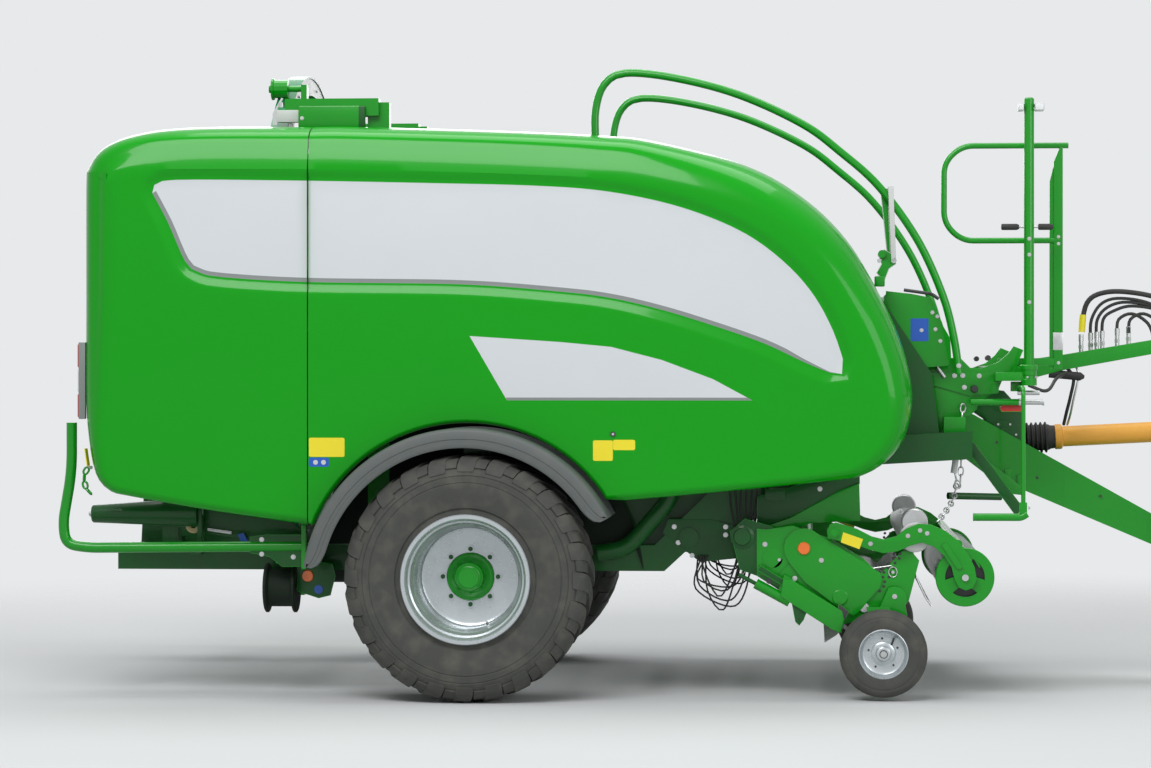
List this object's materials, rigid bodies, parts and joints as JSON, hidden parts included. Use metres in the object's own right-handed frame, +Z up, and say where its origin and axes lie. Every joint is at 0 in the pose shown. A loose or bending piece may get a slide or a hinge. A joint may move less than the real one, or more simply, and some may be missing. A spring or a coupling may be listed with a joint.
{
  "type": "round baler with wrapping ring",
  "caption": "Trailed round baler that also wraps: moulded side doors, roller bale chamber, film wrapping ring, tipping table, lifting pickup and tapered drawbar on a single axle.",
  "frame": {"origin": "middle of the machine on the ground, halfway along its overall length and width", "axes": "+X towards the hitch, +Y to the left side, +Z up"},
  "size_m": [6.5248, 2.94, 3.205],
  "materials": {
    "panel_green": "glossy moulded panel",
    "frame_green": "satin",
    "chassis_green": "satin",
    "tyre_rubber": "matt",
    "rim_silver": "satin",
    "fender_grey": "matt",
    "black_steel": "satin",
    "black_rubber": "matt",
    "black_plastic": "matt",
    "bare_steel": "bare",
    "ring_steel": "satin",
    "guard_yellow": "matt",
    "film_wrap": "glossy",
    "lamp_lens": "clear"
  },
  "bodies": {
    "chassis": {"axle_beam": "chassis_green", "chamber_lower": "frame_green", "chamber_wall_left": "chassis_green", "chamber_wall_right": "chassis_green", "drawbar": "frame_green", "fender_left": "fender_grey", "fender_right": "fender_grey", "front_frame": "frame_green", "gearbox": "chassis_green", "handrail_loop": "frame_green", "hitch_eye": "black_steel", "hose_arm": "frame_green", "main_frame": "chassis_green", "net_roll_box": "frame_green", "parking_jack": "black_steel", "pto_boot": "black_plastic", "pto_guard": "guard_yellow", "pto_yoke": "black_plastic", "rear_guide_left": "frame_green", "rear_guide_right": "frame_green", "rear_lamp_left": "lamp_lens", "rear_lamp_right": "lamp_lens", "rear_panel_left": "panel_green", "rear_panel_right": "panel_green", "ring_frame": "frame_green", "side_step": "frame_green", "tail_roller_left": "black_rubber", "tail_roller_right": "black_rubber", "top_rail_left": "frame_green", "top_rail_right": "frame_green"},
    "wheel_right": {"tyre_right": "tyre_rubber", "rim_right": "rim_silver", "hub_right": "frame_green"},
    "wheel_left": {"tyre_left": "tyre_rubber", "rim_left": "rim_silver", "hub_left": "frame_green"},
    "pickup": {"pickup_frame": "frame_green"},
    "gauge_wheel_right": {"gauge_tyre_right": "tyre_rubber", "gauge_rim_right": "rim_silver"},
    "gauge_wheel_left": {"gauge_tyre_left": "tyre_rubber", "gauge_rim_left": "rim_silver"},
    "reel": {"pickup_reel": "bare_steel"},
    "guard": {"windguard": "frame_green"},
    "roller_press": {"crop_roller": "frame_green"},
    "door_right": {"side_door_right": "panel_green"},
    "door_left": {"side_door_left": "panel_green"},
    "ring": {"wrapping_ring": "ring_steel", "film_dispenser_right": "black_steel", "film_dispenser_left": "black_steel", "film_roll_right": "film_wrap", "film_roll_left": "film_wrap"},
    "table": {"table_frame": "frame_green"},
    "table_roll_front": {"table_roller_front": "black_rubber"},
    "table_roll_rear": {"table_roller_rear": "black_rubber"},
    "chamber_top": {"chamber_upper": "frame_green"},
    "mast": {"mast_post": "frame_green", "mast_lamps": "lamp_lens"}
  },
  "joints": [
    {"name": "wheel_right_spin", "type": "hinge", "parent": "chassis", "child": "wheel_right", "pos_m": [-1.165, -1.19, 0.61], "axis": [0, 1, 0], "continuous": true},
    {"name": "wheel_left_spin", "type": "hinge", "parent": "chassis", "child": "wheel_left", "pos_m": [-1.165, 1.19, 0.61], "axis": [0, 1, 0], "continuous": true},
    {"name": "pickup_lift", "type": "hinge", "parent": "chassis", "child": "pickup", "pos_m": [0.183, 0, 0.805], "axis": [0, -1, 0], "range_deg": [0, 10]},
    {"name": "gauge_right_spin", "type": "hinge", "parent": "pickup", "child": "gauge_wheel_right", "pos_m": [0.883, -1.15, 0.235], "axis": [0, 1, 0], "continuous": true},
    {"name": "gauge_left_spin", "type": "hinge", "parent": "pickup", "child": "gauge_wheel_left", "pos_m": [0.883, 1.15, 0.235], "axis": [0, 1, 0], "continuous": true},
    {"name": "reel_spin", "type": "hinge", "parent": "pickup", "child": "reel", "pos_m": [0.79, 0, 0.455], "axis": [0, 1, 0], "continuous": true},
    {"name": "guard_lift", "type": "hinge", "parent": "pickup", "child": "guard", "pos_m": [0.639, 0, 0.831], "axis": [0, -1, 0], "range_deg": [0, 6]},
    {"name": "press_roller_spin", "type": "hinge", "parent": "guard", "child": "roller_press", "pos_m": [1.288, 0, 0.609], "axis": [0, 1, 0], "continuous": true},
    {"name": "door_right_lift", "type": "hinge", "parent": "chassis", "child": "door_right", "pos_m": [-1.165, -1, 2.775], "axis": [-1, 0, 0], "range_deg": [0, 65]},
    {"name": "door_left_lift", "type": "hinge", "parent": "chassis", "child": "door_left", "pos_m": [-1.165, 1, 2.775], "axis": [1, 0, 0], "range_deg": [0, 65]},
    {"name": "ring_spin", "type": "hinge", "parent": "chassis", "child": "ring", "pos_m": [-2.182, 0, 1.965], "axis": [1, 0, 0], "continuous": true},
    {"name": "table_tip", "type": "hinge", "parent": "chassis", "child": "table", "pos_m": [-2.915, 0, 1.2], "axis": [0, -1, 0], "range_deg": [0, 30]},
    {"name": "table_front_spin", "type": "hinge", "parent": "table", "child": "table_roll_front", "pos_m": [-1.732, 0, 1.4223], "axis": [0, 1, 0], "continuous": true},
    {"name": "table_rear_spin", "type": "hinge", "parent": "table", "child": "table_roll_rear", "pos_m": [-2.632, 0, 1.4223], "axis": [0, 1, 0], "continuous": true},
    {"name": "chamber_lift", "type": "hinge", "parent": "chassis", "child": "chamber_top", "pos_m": [0.255, 0, 2.42], "axis": [0, 1, 0], "range_deg": [0, 26]},
    {"name": "mast_swivel", "type": "hinge", "parent": "chassis", "child": "mast", "pos_m": [1.623, -0.75, 1.6], "axis": [0, 0, 1], "range_deg": [-90, 90]}
  ]
}
